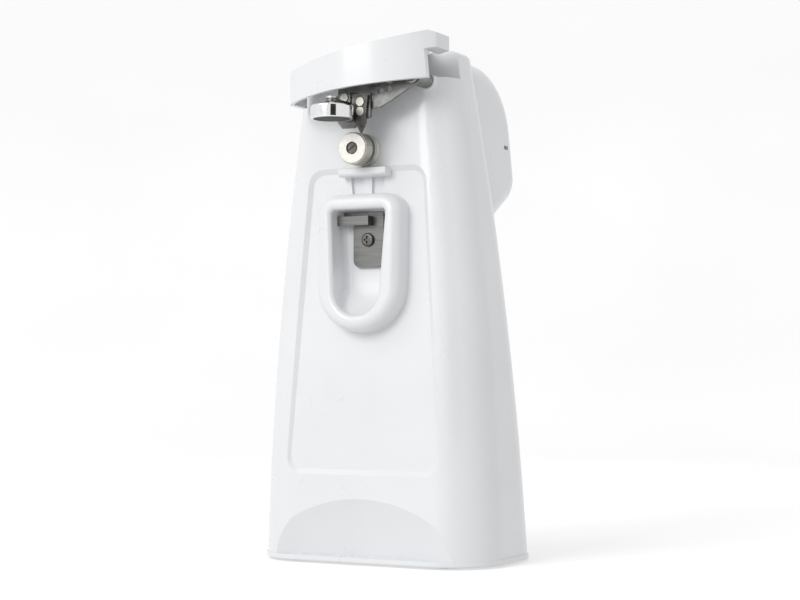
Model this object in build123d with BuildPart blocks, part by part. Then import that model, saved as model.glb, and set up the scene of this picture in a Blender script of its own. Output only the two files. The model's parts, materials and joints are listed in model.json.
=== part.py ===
from build123d import *
from math import acos, atan2, cos, pi, radians, sin, sqrt, tan
import os

# Upright electric can opener with a bottle opener in its front and a knife sharpener in its back.
# Millimetres. +Z is up, +X is to the right of a person facing the opener, -Y points at that person.
# The origin is on the table, under the middle of the whole opener's box.

os.makedirs("parts", exist_ok=True)

# ---------------------------------------------------------------- tower: outer form
tower_height = 240.0
foot_width = 123.3
top_width = 79.3
side_bulge = 29.9            # extra width of the curved sides, times t(1 - t) up the height
foot_front_y = -34.8
top_front_y = -25.2
foot_rear_y = 40.0
top_rear_y = 14.4
foot_corner = 27.0           # upright corners, at the foot and at the top
top_corner = 16.5
top_round = 3.0
wall = 3.0
section_steps = 4

# ---------------------------------------------------------------- pod on the back: motor and sharpener
pod_half_width = 38.0
pod_rear_y = 66.2
pod_low_z = 179.0            # where the pod's back turns into its underside
pod_back_lean = 12.0         # degrees from upright
pod_under_slope = 31.0       # degrees from level
pod_top_round = 38.0
pod_low_round = 15.0
pod_side_round = 12.0
pod_front_y = 2.0            # the pod block starts here, inside the tower

# ---------------------------------------------------------------- front of the tower
notch_floor_z = 226.5
notch_back_y = -11.6
panel_top_z = 183.4
panel_low_z = 44.2
panel_top_half = 29.0
panel_low_half = 39.2
panel_corner = 6.0
panel_depth = 1.6
panel_slope = 58.0           # the panel's border leans outwards by this many degrees
scoop_top_z = 34.0
scoop_circle = 70.0          # radius of the arch that the scoop draws on the front
scoop_radius = 200.0
pouch_top_z = 173.3
pouch_low_z = 107.4
pouch_half = 22.5
pouch_reach = 9.0            # how far the pouch stands out of the front
pouch_round = 5.0
mouth_top_z = 165.0
mouth_low_z = 115.5
mouth_top_half = 14.5
mouth_low_half = 12.0
pocket_back_y = -24.1
pocket_round = 3.0
mouth_round = 2.4
pocket_floor_z = 135.0       # where the pocket's back turns into its ramp
shelf_z = 183.0
shelf_half = 12.5
shelf_height = 3.6
shelf_reach = 5.0
shelf_round = 1.8
web_half = 9.2               # two shallow hollows below the shelf, with a rib between them
web_depth = 1.6
web_low_half = 8.0
rib_half = 2.2
pouch_root = panel_depth + web_depth + 0.2     # pouch and shelf are rooted below the hollows
pouch_draft = 5.0

# ---------------------------------------------------------------- bottle opener in the pouch
opener_thickness = 1.5
opener_half = 8.0
lip_z = 160.4
lip_height = 4.4
lip_left_x = -14.0
lip_right_x = 2.4
lip_reach = 6.2
opener_screw_z = 151.6
opener_gap = 0.4
opener_shoulder = 13.0       # the plate is wider at its top, behind the lip
opener_corner = 4.0
opener_low_z = pocket_floor_z + pocket_round + opener_gap
opener_top_z = mouth_top_z - 0.6
opener_step_z = lip_z - 1.0

# ---------------------------------------------------------------- foot
foot_gap = 1.0
cover_thickness = 2.6
cover_rim = 0.5
rubber_foot_radius = 6.0
rubber_foot_x = 38.0
rubber_foot_front_y = -20.0
rubber_foot_rear_y = 26.0
rubber_foot_sink = 1.0

# ---------------------------------------------------------------- holes and fittings of the housing
far = 80.0
pocket_run = 14.0             # depth of the pocket's ramp
bushing_radius = 5.0
bushing_depth = 5.9
bushing_flange = 2.0         # how far a bushing's flange stands out round its hole
flange_gap = 0.05
plunger_x = -22.0
plunger_y = -18.0
plunger_radius = 1.8
plunger_travel = 1.5
guide_half = 14.0
guide_front_y = 36.0
guide_low_z = 199.0
slot_x = 7.5
slot_half = 2.3
slot_front_y = 40.0
guide_gap = 0.1
inlet_z = 18.0
inlet_radius = 4.5
inlet_bore = 3.3
vent_y = 47.0
vent_z = 201.0

# ---------------------------------------------------------------- drive train
drive_z = 193.2
first_module = 0.6           # motor pinion and large wheel of the compound gear
second_module = 1.0          # small wheel of the compound gear and output gear
pinion_teeth = 12
compound_teeth = 60
output_teeth = 48
pressure_angle = 25.0
backlash = 0.12
front_plate_y = -17.7        # rear face of the gearbox's front plate
rear_plate_y = 1.3
plate_thickness = 1.6
output_gear_y = -9.5         # rear face of each gear
output_gear_width = 5.6
compound_gear_y = -3.8
compound_gear_width = 4.0
drive_shaft_radius = 3.0
drive_tail_radius = 2.0
idler_shaft_radius = 2.0
motor_shaft_radius = 1.6
running_gap = 0.05           # radial clearance of every shaft that turns in a hole
wheel_front_y = -41.6
wheel_radius = 7.6
wheel_teeth = 40

idler_z = drive_z - second_module * (pinion_teeth + output_teeth) / 2
motor_z = idler_z + first_module * (pinion_teeth + compound_teeth) / 2

collar_radius = 3.4
collar_gap = 0.4

# ---------------------------------------------------------------- motor
stator_front_y = 7.9
stator_length = 18.0
stator_bore = 12.6
air_gap = 0.5
rotor_length = stator_length
stator_half_height = 20.0
stator_right_x = 20.0
coil_leg_x = -30.0
coil_leg_width = 7.0
window_right_x = -15.0
window_half_height = 12.0
motor_bracket_thickness = 2.0
motor_bracket_gap = 1.0      # air between the stack and each end bracket
motor_screw_x = (-11.5, 15.0)
motor_screw_dz = 16.0
motor_screw_places = [(x, dz) for x in motor_screw_x for dz in (-motor_screw_dz, motor_screw_dz)]
fan_y = 37.7
fan_width = 6.0
fan_radius = 13.5
stone_y = 47.7
stone_width = 7.0
stone_radius = 11.0

bobbin_wall = 0.8
coil_build = 3.2
coil_gap = 0.1
bearing_radius = 4.0
fan_blades = 7
fan_hub_radius = 5.0

# ---------------------------------------------------------------- switch
switch_height = 14.0
switch_length = 14.0
switch_width = 5.0

# ---------------------------------------------------------------- lever
pivot_x = 31.0
pivot_z = 224.3
pivot_pin_radius = 2.2
pivot_bushing_wall = 1.4
pivot_boss_radius = pivot_pin_radius + pivot_bushing_wall + 0.5
pivot_boss_reach = 0.6
pivot_boss_depth = 9.0
pivot_head_step = 1.2
pivot_head_height = 1.5
arm_y = -38.7                # rear face of the steel arm
arm_thickness = 1.6
guide_thickness = 1.6
blade_thickness = 1.5
bracket_thickness = 1.0
handle_wall = 2.2
handle_rear_y = -27.0
magnet_x = -3.1
magnet_y = -54.5
magnet_radius = 9.8
magnet_low_z = 205.2
magnet_top_z = 211.4
bracket_z = 213.2
lift_clearance = 0.3         # between parts of the lever and of the tower that pass each other

arm_end_radius = 4.0
block_left_x = -4.0
block_right_x = 24.0
block_low_z = 222.0
block_rear_y = -31.0
handle_rivet_places = ((1.0, 224.0), (19.0, 224.0))
blade_rivet_places = ((5.6, 209.6), (5.6, 214.0))
guide_rivet_place = (-3.1, 216.4)
rivet_radius = 1.1
rivet_head = 0.6
bracket_width = 6.0
post_radius = 1.5
post_play = 0.5              # the magnet's post hangs loose in its bracket
post_slack = 0.5
post_head_radius = 2.8
post_head_height = 0.8
cup_wall = 1.2

# ---------------------------------------------------------------- handle
handle_top_line = ((-35.0, 230.4), (0.0, 236.4), (40.0, 244.6))
handle_low_left_z = 215.6
handle_low_right_z = 223.0
handle_left_x = -35.0
handle_right_x = 39.5
handle_front_points = ((-22.0, -49.0), (2.0, -54.5), (24.0, -50.0))
handle_left_front_y = -38.0
handle_right_front_y = -39.0
tab_right_x = 43.2
tab_low_z = 236.0
tab_high_z = 243.6
end_opening = ((36.0, -41.7), (39.5, -39.6), (41.0, -38.3), (41.0, -26.0), (36.0, -26.0))
wing_right_x = 26.0
wing_thickness = 3.0

# ---------------------------------------------------------------- fasteners
screw_radius = 1.5
screw_fit = 0.05
boss_radius = 4.5
seam_foot_y = 25.0           # the seam between the two housing shells leans with the tower
seam_top_y = 5.0
housing_screw_places = ((-36.0, 40.0), (36.0, 40.0), (-34.0, 130.0), (34.0, 130.0))
gearbox_post_places = ((-29.0, 186.0), (29.0, 186.0), (-24.0, 150.0), (24.0, 150.0))
base_screw_x = 54.0
base_screw_y = 8.0
base_post_top_z = 20.0
screw_head_radius = 3.2
screw_head_height = 2.0
screw_sink = 2.6
screw_reach = 16.0
base_head_sink = 1.4


# ---------------------------------------------------------------- shared shapes
def at_height(foot, top, z):
    """A size that changes evenly from the foot to the top of the tower."""
    return foot + (top - foot) * z / tower_height


def half_width(z):
    t = z / tower_height
    return (at_height(foot_width, top_width, z) + side_bulge * t * (1 - t)) / 2


def front_y(z):
    return at_height(foot_front_y, top_front_y, z)


def rear_y(z):
    return at_height(foot_rear_y, top_rear_y, z)


def seam_y(z):
    return at_height(seam_foot_y, seam_top_y, z)


def facing_front(x, y, z):
    """A plane across the opener whose normal points at the user and whose local y is up."""
    return Plane(origin=(x, y, z), x_dir=(1, 0, 0), z_dir=(0, -1, 0))


lean = atan2(top_front_y - foot_front_y, tower_height)
front_plane = Plane(origin=(0, foot_front_y, 0), x_dir=(1, 0, 0), z_dir=(0, -cos(lean), sin(lean)))


def tower_block(inset, low_z, high_z):
    """The tower as a solid, drawn in from its surface by inset."""
    with BuildPart() as block:
        for step in range(section_steps + 1):
            z = low_z + (high_z - low_z) * step / section_steps
            depth = rear_y(z) - front_y(z) - 2 * inset
            with BuildSketch(Plane.XY.offset(z)):
                with Locations((0, (rear_y(z) + front_y(z)) / 2)):
                    RectangleRounded(
                        2 * (half_width(z) - inset), depth, at_height(foot_corner, top_corner, z) - inset
                    )
        loft()
    return block.part


def pod_block(inset):
    """The pod as a solid, drawn in from its surface by inset."""
    back_run = (tower_height - pod_low_z) * tan(radians(pod_back_lean))
    under_drop = (pod_rear_y - pod_front_y) * tan(radians(pod_under_slope))
    with BuildPart() as block:
        with BuildSketch(Plane.YZ):
            with BuildLine():
                Polyline(
                    (pod_front_y, tower_height),
                    (pod_rear_y - back_run, tower_height),
                    (pod_rear_y, pod_low_z),
                    (pod_front_y, pod_low_z - under_drop),
                    close=True,
                )
            make_face()
            fillet(vertices().sort_by(Axis.X)[-1], pod_low_round)
            fillet(vertices().sort_by(Axis.Y)[-2:].sort_by(Axis.X)[-1], pod_top_round)
            if inset:
                offset(amount=-inset)
        extrude(amount=pod_half_width - inset, both=True)
        fillet(faces().filter_by(Axis.X).edges(), pod_side_round - inset)
    return block.part


def pouch_outline(grow):
    """Outline of the bottle opener's pouch: straight sides and a round bottom."""
    half = pouch_half + grow
    centre = pouch_low_z + pouch_half
    Polyline((half, centre), (half, pouch_top_z), (-half, pouch_top_z), (-half, centre))
    ThreePointArc((-half, centre), (0, centre - half), (half, centre))


def mouth_outline(grow):
    """Outline of the pocket's mouth: sides that draw in towards a round bottom."""
    low_half = mouth_low_half + grow
    centre = mouth_low_z + mouth_low_half
    Polyline(
        (low_half, centre),
        (mouth_top_half + grow, mouth_top_z + grow),
        (-mouth_top_half - grow, mouth_top_z + grow),
        (-low_half, centre),
    )
    ThreePointArc((-low_half, centre), (0, centre - low_half), (low_half, centre))


def gear_points(teeth, module, turn):
    """Closed outline of an involute spur gear, its first tooth turned by turn degrees."""
    pitch_radius = module * teeth / 2
    base_radius = pitch_radius * cos(radians(pressure_angle))
    root_radius = pitch_radius - 1.25 * module
    tip_radius = pitch_radius + module
    flank_start = max(base_radius, root_radius)
    radii = (flank_start, (flank_start + pitch_radius) / 2, pitch_radius,
             (pitch_radius + tip_radius) / 2, tip_radius)

    def involute(angle):
        return tan(angle) - angle

    def half_angle(radius):
        pitch_half = pi / (2 * teeth) - backlash * module / (2 * pitch_radius)
        return pitch_half + involute(radians(pressure_angle)) - involute(acos(min(1, base_radius / radius)))

    flank = [(r, half_angle(r)) for r in radii]
    if base_radius > root_radius:
        flank.insert(0, (root_radius, half_angle(flank_start)))
    points = []
    for tooth in range(teeth):
        middle = radians(turn) + 2 * pi * tooth / teeth
        for r, angle in flank:
            points.append((r * cos(middle - angle), r * sin(middle - angle)))
        for r, angle in reversed(flank):
            points.append((r * cos(middle + angle), r * sin(middle + angle)))
    return points


def save_piece(builder, name):
    builder.part.label = name
    export_step(builder.part, f"parts/{name}.step")


# ---------------------------------------------------------------- housing: envelope and cavity
housing_low_z = foot_gap + cover_thickness
scoop_centre_z = scoop_top_z - scoop_circle
scoop_centre_y = foot_front_y - sqrt(scoop_radius**2 - scoop_circle**2)
pivot_boss_front_y = front_y(pivot_z) - pivot_boss_reach
pivot_boss_rear_y = front_y(pivot_z) + pivot_boss_depth
spindle_flange_y = front_y(drive_z - bushing_radius - bushing_flange) - flange_gap
bushing_rear_y = front_y(drive_z) + bushing_depth

with BuildPart() as envelope:
    add(tower_block(0, housing_low_z, tower_height))
    fillet(faces().sort_by(Axis.Z)[-1].edges(), top_round)
    add(pod_block(0))
    with BuildSketch(facing_front(pivot_x, pivot_boss_front_y, pivot_z)):
        Circle(pivot_boss_radius)
    extrude(amount=-(pivot_boss_rear_y - pivot_boss_front_y))

with BuildPart() as pouch:
    with BuildSketch(front_plane.offset(-pouch_root)):
        with BuildLine():
            pouch_outline(0)
        make_face()
        fillet(vertices().group_by(Axis.Y)[-1], 2 * pouch_round)
    extrude(amount=pouch_reach + pouch_root, taper=pouch_draft)
    fillet(faces().sort_by(Axis.Y)[0].edges(), pouch_round)

web_top_z = shelf_z - shelf_height / 2
web_low_z = pouch_top_z - 1

with BuildPart() as shelf:
    with BuildSketch(front_plane.offset(-pouch_root)):
        with Locations((0, shelf_z)):
            Rectangle(2 * shelf_half, shelf_height)
    extrude(amount=shelf_reach + pouch_root)
    fillet(edges().filter_by(Axis.X).group_by(Axis.Y)[0], shelf_round)

with BuildPart() as webs:
    with BuildSketch(front_plane.offset(-panel_depth - web_depth)):
        for side in (-1, 1):
            Polygon(
                (side * rib_half, web_top_z), (side * rib_half, web_low_z),
                (side * web_low_half, web_low_z), (side * web_half, web_top_z),
                align=None,
            )
    extrude(amount=web_depth + panel_depth + 1)


with BuildPart() as pocket:
    with BuildSketch(front_plane.offset(-10)):
        with BuildLine():
            mouth_outline(0)
        make_face()
        fillet(vertices().group_by(Axis.Y)[-1], 2)
    extrude(amount=pouch_reach + 20)
    with BuildSketch(Plane.YZ):
        with BuildLine():
            rim_y = front_y(mouth_low_z) - pouch_reach
            Polyline(
                (rim_y, mouth_low_z - 1), (-far, mouth_low_z - 1), (-far, mouth_top_z + 5),
                (pocket_back_y, mouth_top_z + 5), (pocket_back_y, pocket_floor_z),
            )
            ThreePointArc(
                (pocket_back_y, pocket_floor_z),
                ((pocket_back_y + rim_y) / 2 + 1.5, (pocket_floor_z + mouth_low_z) / 2 - 4),
                (rim_y, mouth_low_z - 1),
            )
        make_face()
    extrude(amount=far, both=True, mode=Mode.INTERSECT)
    # round every inner corner: all edges but those at the mouth and those that run out of it
    inner = edges().filter_by(lambda e: e.bounding_box().max.Y > pocket_back_y - pocket_run
                              and e.bounding_box().size.Y < pocket_run)
    fillet(inner, pocket_round)

with BuildPart() as recess:
    with BuildSketch(front_plane.offset(-panel_depth)):
        Polygon(
            (-panel_low_half, panel_low_z), (panel_low_half, panel_low_z),
            (panel_top_half, panel_top_z), (-panel_top_half, panel_top_z),
            align=None,
        )
        fillet(vertices(), panel_corner)
    extrude(amount=panel_depth + 1, taper=-panel_slope)

with BuildPart() as cavity:
    add(tower_block(wall, housing_low_z - 5, tower_height - wall))
    add(pod_block(wall))
    # keep a full wall behind the notch, the panel, the pocket and the scoop
    with BuildSketch(Plane.XY.offset(notch_floor_z - wall)):
        with Locations((0, notch_back_y + wall - far / 2)):
            Rectangle(2 * far, far)
    extrude(amount=far, mode=Mode.SUBTRACT)
    with BuildSketch(front_plane.offset(-panel_depth - wall)):
        Polygon(
            (-panel_low_half, panel_low_z), (panel_low_half, panel_low_z),
            (panel_top_half, panel_top_z), (-panel_top_half, panel_top_z),
            align=None,
        )
    extrude(amount=far, mode=Mode.SUBTRACT)
    with BuildSketch(facing_front(0, pocket_back_y + wall, 0)):
        with BuildLine():
            mouth_outline(wall)
        make_face()
    extrude(amount=far, mode=Mode.SUBTRACT)
    with Locations((0, scoop_centre_y, scoop_centre_z)):
        Sphere(scoop_radius + wall, mode=Mode.SUBTRACT)
    # leave solid posts and bosses inside
    for x, z in housing_screw_places:
        with BuildSketch(facing_front(x, far, z)):
            Circle(boss_radius)
        extrude(amount=2 * far, mode=Mode.SUBTRACT)
    for x, z in gearbox_post_places:
        with BuildSketch(facing_front(x, front_plate_y - plate_thickness, z)):
            Circle(boss_radius)
        extrude(amount=far, mode=Mode.SUBTRACT)
    with BuildSketch(facing_front(0, bushing_rear_y, drive_z)):
        Circle(bushing_radius + wall)
    extrude(amount=far, mode=Mode.SUBTRACT)
    with BuildSketch(facing_front(pivot_x, pivot_boss_rear_y, pivot_z)):
        Circle(pivot_boss_radius)
    extrude(amount=far, mode=Mode.SUBTRACT)
    for side in (-1, 1):
        with BuildSketch(Plane.XY.offset(housing_low_z - 5)):
            with Locations((side * base_screw_x, base_screw_y)):
                Circle(boss_radius)
        extrude(amount=base_post_top_z - housing_low_z + 5, mode=Mode.SUBTRACT)

# ---------------------------------------------------------------- housing: whole shell before it is parted

with BuildPart() as shell:
    add(envelope.part)
    add(recess.part, mode=Mode.SUBTRACT)
    add(webs.part, mode=Mode.SUBTRACT)
    add(pouch.part)
    add(shelf.part)
    with BuildSketch(Plane.XY.offset(notch_floor_z)):
        with Locations((0, notch_back_y - far / 2)):
            Rectangle(2 * far, far)
    extrude(amount=far, mode=Mode.SUBTRACT)
    with Locations((0, scoop_centre_y, scoop_centre_z)):
        Sphere(scoop_radius, mode=Mode.SUBTRACT)
    add(cavity.part, mode=Mode.SUBTRACT)
    add(pocket.part, mode=Mode.SUBTRACT)
    rim = edges().filter_by(
        lambda e: abs(front_plane.to_local_coords(e.center()).Z - pouch_reach) < 0.01
        and abs(e.center().X) < mouth_top_half + 0.1 and mouth_low_z < e.center().Z < mouth_top_z + 1
    )
    fillet(rim, mouth_round)
    # a seat for the opener's plate in the rounded corner at the pocket's top
    with BuildSketch(facing_front(0, pocket_back_y, 0)):
        Polygon(
            (-opener_shoulder - opener_gap, opener_step_z - opener_gap),
            (opener_half + opener_gap, opener_step_z - opener_gap),
            (opener_half + opener_gap, opener_top_z + opener_gap),
            (-opener_shoulder - opener_gap, opener_top_z + opener_gap), align=None,
        )
    extrude(amount=pocket_round, mode=Mode.SUBTRACT)
    # holes for the spindle bushing, the lever's pin and the switch plunger
    with BuildSketch(facing_front(0, bushing_rear_y, drive_z)):
        Circle(bushing_radius)
    extrude(amount=far, mode=Mode.SUBTRACT)
    with BuildSketch(facing_front(pivot_x, pivot_boss_rear_y, pivot_z)):
        Circle(pivot_pin_radius)
    extrude(amount=far, mode=Mode.SUBTRACT)
    with BuildSketch(Plane.XY.offset(notch_floor_z - wall)):
        with Locations((plunger_x, plunger_y)):
            Circle(plunger_radius + running_gap)
    extrude(amount=wall, mode=Mode.SUBTRACT)
    # opening for the sharpener's guide
    with BuildSketch(Plane.XY.offset(guide_low_z)):
        with Locations((0, guide_front_y + far / 2)):
            Rectangle(2 * (guide_half + guide_gap), far)
    extrude(amount=far, mode=Mode.SUBTRACT)
    # cord inlet and one vent in each side of the pod
    with BuildSketch(facing_front(0, far, inlet_z)):
        Circle(inlet_radius)
    extrude(amount=far - rear_y(inlet_z) + 2 * wall, mode=Mode.SUBTRACT)
    with BuildSketch(Plane.YZ.offset(-far)):
        with Locations((vent_y, vent_z)):
            SlotOverall(5, 2)
    extrude(amount=2 * far, mode=Mode.SUBTRACT)
    # screw holes: along Y through both shells, and up from the foot
    for x, z in housing_screw_places:
        head_y = rear_y(z) - screw_sink
        with BuildSketch(facing_front(x, far, z)):
            Circle(screw_head_radius + 0.4)
        extrude(amount=far - head_y, mode=Mode.SUBTRACT)
        with BuildSketch(facing_front(x, head_y, z)):
            Circle(screw_radius + screw_fit)
        extrude(amount=head_y - seam_y(z) + screw_reach, mode=Mode.SUBTRACT)
    for x, z in gearbox_post_places:
        with BuildSketch(facing_front(x, front_plate_y, z)):
            Circle(screw_radius + screw_fit)
        extrude(amount=6.5, mode=Mode.SUBTRACT)
    for side in (-1, 1):
        with BuildSketch(Plane.XY.offset(housing_low_z)):
            with Locations((side * base_screw_x, base_screw_y)):
                Circle(screw_radius + screw_fit)
        extrude(amount=12, mode=Mode.SUBTRACT)

seam_lean = atan2(seam_top_y - seam_foot_y, tower_height)
seam_plane = Plane(
    origin=(0, seam_foot_y, 0), x_dir=(1, 0, 0), z_dir=(0, -cos(seam_lean), sin(seam_lean)),
)

with BuildPart() as front_housing:
    add(shell.part)
    split(bisect_by=seam_plane, keep=Keep.TOP)
save_piece(front_housing, "front_housing")

with BuildPart() as rear_housing:
    add(shell.part)
    split(bisect_by=seam_plane, keep=Keep.BOTTOM)
save_piece(rear_housing, "rear_housing")

# ---------------------------------------------------------------- foot: cover, feet, inlet bushing, screws
foot_places = [
    (side * rubber_foot_x, y) for side in (-1, 1) for y in (rubber_foot_front_y, rubber_foot_rear_y)
]

with BuildPart() as base_cover:
    with BuildSketch(Plane.XY.offset(foot_gap)):
        with Locations((0, (rear_y(0) + front_y(0)) / 2)):
            RectangleRounded(
                foot_width + 2 * cover_rim, foot_rear_y - foot_front_y + 2 * cover_rim,
                foot_corner + cover_rim,
            )
    extrude(amount=cover_thickness)
    fillet(faces().sort_by(Axis.Z)[0].edges(), 0.8)
    with BuildSketch(Plane.XY.offset(foot_gap)):
        with Locations(*foot_places):
            Circle(rubber_foot_radius)
    extrude(amount=rubber_foot_sink, mode=Mode.SUBTRACT)
    with BuildSketch(Plane.XY.offset(foot_gap)):
        with Locations(*[(side * base_screw_x, base_screw_y) for side in (-1, 1)]):
            Circle(screw_radius + screw_fit)
    extrude(amount=cover_thickness, mode=Mode.SUBTRACT)
    with BuildSketch(Plane.XY.offset(foot_gap)):
        with Locations(*[(side * base_screw_x, base_screw_y) for side in (-1, 1)]):
            Circle(screw_head_radius + 0.2)
    extrude(amount=base_head_sink, mode=Mode.SUBTRACT)
save_piece(base_cover, "base_cover")

with BuildPart() as rubber_feet:
    with BuildSketch(Plane.XY):
        with Locations(*foot_places):
            Circle(rubber_foot_radius)
    extrude(amount=foot_gap + rubber_foot_sink)
    fillet(edges().group_by(Axis.Z)[0], 0.6)
save_piece(rubber_feet, "rubber_feet")

with BuildPart() as base_screws:
    for side in (-1, 1):
        with BuildSketch(Plane.XY.offset(foot_gap + base_head_sink - 1.2)):
            with Locations((side * base_screw_x, base_screw_y)):
                Circle(screw_head_radius)
        extrude(amount=1.2)
        with BuildSketch(Plane.XY.offset(foot_gap + base_head_sink)):
            with Locations((side * base_screw_x, base_screw_y)):
                Circle(screw_radius)
        extrude(amount=12)
save_piece(base_screws, "base_screws")

with BuildPart() as housing_screws:
    for x, z in housing_screw_places:
        head_y = rear_y(z) - screw_sink
        with BuildSketch(facing_front(x, head_y + screw_head_height, z)):
            Circle(screw_head_radius)
        extrude(amount=screw_head_height)
        with BuildSketch(facing_front(x, head_y, z)):
            Circle(screw_radius)
        extrude(amount=head_y - seam_y(z) + screw_reach - 1)
        with BuildSketch(facing_front(x, head_y + screw_head_height, z)):
            Rectangle(3.6, 0.9)
            Rectangle(0.9, 3.6)
        extrude(amount=1.1, mode=Mode.SUBTRACT)
save_piece(housing_screws, "housing_screws")

inlet_flange_y = rear_y(inlet_z - inlet_radius - bushing_flange) + flange_gap   # clear of the leaning back
with BuildPart() as cord_bushing:
    with BuildSketch(facing_front(0, inlet_flange_y + 3, inlet_z)):
        Circle(inlet_radius + bushing_flange)
    extrude(amount=3)
    fillet(edges().group_by(Axis.Y)[-1], 0.8)
    with BuildSketch(facing_front(0, inlet_flange_y, inlet_z)):
        Circle(inlet_radius)
    extrude(amount=wall + 2.5)
    with BuildSketch(facing_front(0, inlet_flange_y + 3, inlet_z)):
        Circle(inlet_bore)
    extrude(amount=far, mode=Mode.SUBTRACT)
save_piece(cord_bushing, "cord_bushing")

# ---------------------------------------------------------------- bottle opener

with BuildPart() as bottle_opener_plate:
    with BuildSketch(facing_front(0, pocket_back_y, 0)):
        Polygon(
            (-opener_half, opener_low_z), (opener_half, opener_low_z),
            (opener_half, opener_top_z), (-opener_shoulder, opener_top_z),
            (-opener_shoulder, opener_step_z), (-opener_half, opener_step_z), align=None,
        )
        fillet(vertices().group_by(Axis.Y)[0], opener_corner)
    extrude(amount=opener_thickness)
    # the lip is a strap bent forward from the plate's right edge and back across the mouth
    with BuildSketch(facing_front((lip_left_x + lip_right_x) / 2, pocket_back_y - lip_reach, lip_z)):
        Rectangle(lip_right_x - lip_left_x, lip_height)
    extrude(amount=-opener_thickness)
    with BuildSketch(facing_front(lip_right_x - opener_thickness / 2, pocket_back_y - lip_reach, lip_z)):
        Rectangle(opener_thickness, lip_height)
    extrude(amount=-lip_reach)
    with BuildSketch(facing_front(0, pocket_back_y, opener_screw_z)):
        Circle(screw_radius + screw_fit)
    extrude(amount=opener_thickness, mode=Mode.SUBTRACT)
save_piece(bottle_opener_plate, "bottle_opener_plate")

with BuildPart() as bottle_opener_screw:
    with BuildSketch(facing_front(0, pocket_back_y - opener_thickness, opener_screw_z)):
        Circle(screw_head_radius)
    extrude(amount=1.6)
    fillet(faces().sort_by(Axis.Y)[0].edges(), 0.9)
    with BuildSketch(facing_front(0, pocket_back_y, opener_screw_z)):
        Circle(screw_radius)
    extrude(amount=opener_thickness)
    with BuildSketch(facing_front(0, pocket_back_y - opener_thickness - 0.7, opener_screw_z)):
        Rectangle(3.4, 0.9)
        Rectangle(0.9, 3.4)
    extrude(amount=2, mode=Mode.SUBTRACT)
save_piece(bottle_opener_screw, "bottle_opener_screw")

# ---------------------------------------------------------------- drive wheel, shaft and bushing
wheel_rear_y = spindle_flange_y - 3.6
with BuildPart() as spindle_bushing:
    with BuildSketch(facing_front(0, spindle_flange_y, drive_z)):
        Circle(bushing_radius + bushing_flange)
    extrude(amount=2.4)
    with BuildSketch(facing_front(0, bushing_rear_y, drive_z)):
        Circle(bushing_radius)
    extrude(amount=bushing_rear_y - spindle_flange_y)
    with BuildSketch(facing_front(0, bushing_rear_y, drive_z)):
        Circle(drive_shaft_radius + running_gap)
    extrude(amount=far, mode=Mode.SUBTRACT)
save_piece(spindle_bushing, "spindle_bushing")

with BuildPart() as drive_wheel:
    # toothed feed rim in front, a neck where the can's rim runs, and a flange behind it
    with BuildSketch(facing_front(0, wheel_rear_y, drive_z)):
        Circle(wheel_radius + 0.2)
    extrude(amount=2.2)
    with BuildSketch(facing_front(0, wheel_rear_y - 2.2, drive_z)):
        Circle(wheel_radius - 1.6)
    extrude(amount=1.6)
    with BuildSketch(facing_front(0, wheel_rear_y - 3.8, drive_z)):
        Circle(wheel_radius)
        with PolarLocations(wheel_radius, wheel_teeth):
            Rectangle(0.7, 0.5, mode=Mode.SUBTRACT)
    extrude(amount=wheel_rear_y - 3.8 - wheel_front_y - 0.8)
    with BuildSketch(facing_front(0, wheel_front_y + 0.8, drive_z)):
        Circle(wheel_radius - 0.4)
    extrude(amount=0.8)
    fillet(faces().sort_by(Axis.Y)[0].edges(), 0.4)
    with BuildSketch(facing_front(0, wheel_rear_y, drive_z)):
        Circle(drive_shaft_radius)
    extrude(amount=far, mode=Mode.SUBTRACT)
save_piece(drive_wheel, "drive_wheel")

shaft_front_y = wheel_front_y + 1.2
shaft_step_y = output_gear_y + 0.3
with BuildPart() as drive_shaft:
    with BuildSketch(facing_front(0, shaft_step_y, drive_z)):
        Circle(drive_shaft_radius)
    extrude(amount=shaft_step_y - shaft_front_y)
    with BuildSketch(facing_front(0, rear_plate_y, drive_z)):
        Circle(drive_tail_radius)
    extrude(amount=rear_plate_y - shaft_step_y)
save_piece(drive_shaft, "drive_shaft")

with BuildPart() as wheel_screw:
    with BuildSketch(facing_front(0, shaft_front_y, drive_z)):
        Circle(2.6)
    extrude(amount=1.0)
    fillet(faces().sort_by(Axis.Y)[0].edges(), 0.4)
    with BuildSketch(facing_front(0, shaft_front_y - 0.5, drive_z)):
        Rectangle(far, 0.8, rotation=35)
    extrude(amount=1, mode=Mode.SUBTRACT)
save_piece(wheel_screw, "wheel_screw")

# ---------------------------------------------------------------- gears
# A tooth of each larger wheel points along the line of centres, into a gap of its pinion.
pinion_turn = 360 / pinion_teeth / 2

with BuildPart() as output_gear:
    with BuildSketch(facing_front(0, output_gear_y, drive_z)):
        with BuildLine():
            Polyline(*gear_points(output_teeth, second_module, -90), close=True)
        make_face()
        Circle(drive_shaft_radius, mode=Mode.SUBTRACT)
        with PolarLocations(13, 5):
            Circle(4, mode=Mode.SUBTRACT)
    extrude(amount=output_gear_width)
save_piece(output_gear, "output_gear")

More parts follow.
